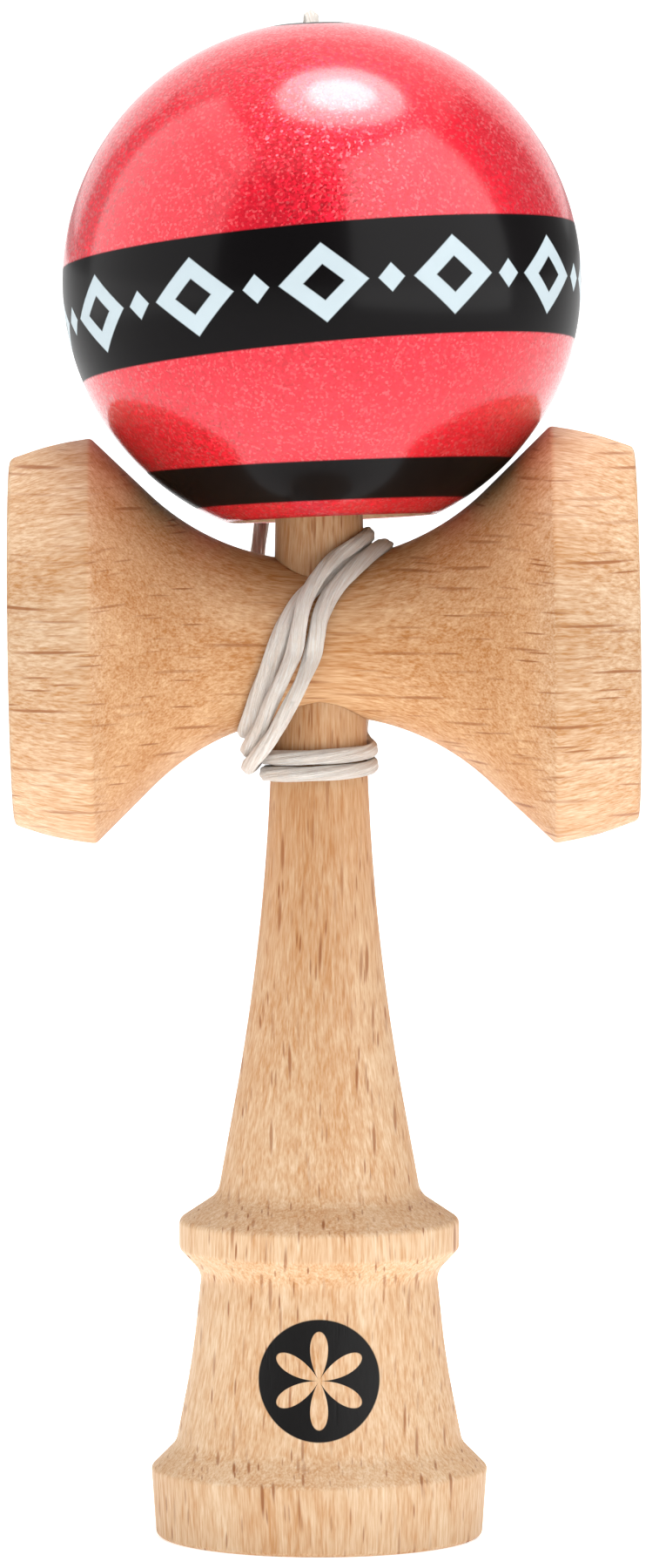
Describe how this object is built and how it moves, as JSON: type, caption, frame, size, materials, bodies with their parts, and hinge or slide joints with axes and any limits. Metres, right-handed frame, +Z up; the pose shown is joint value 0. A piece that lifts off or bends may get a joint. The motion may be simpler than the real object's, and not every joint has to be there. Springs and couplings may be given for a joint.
{
  "type": "kendama",
  "caption": "Wooden skill toy: a turned handle with a spike, a cross-piece with cups at its ends, and a painted bored ball on a string.",
  "frame": {"origin": "centre of the foot's resting ring, on the surface that the toy stands on", "axes": "+Z up along the handle, +X towards the big cup, -Y towards the front that the picture shows"},
  "size_m": [0.073, 0.0618, 0.1777],
  "materials": {
    "beech": "satin",
    "ball_paint": "gloss",
    "bead_wood": "satin",
    "cotton": "matte"
  },
  "bodies": {
    "ken": {"ken": "beech", "sarado": "beech", "anchor_knot": "cotton", "string_winding": "cotton", "string_lead": "cotton"},
    "bead": {"bead": "bead_wood", "bead_knot": "cotton", "string_tail": "cotton"},
    "tama": {"tama": "ball_paint"}
  },
  "joints": [
    {"name": "tama_lift", "type": "slide", "parent": "ken", "child": "bead", "axis": [0, 0, 1], "range_m": [0, 0.045], "deforming": ["string_lead"]},
    {"name": "tama_spin", "type": "hinge", "parent": "bead", "child": "tama", "pos_m": [0.00032, -0.00062, 0.14615], "axis": [-0.0417, 0.0819, 0.9958], "continuous": true}
  ]
}
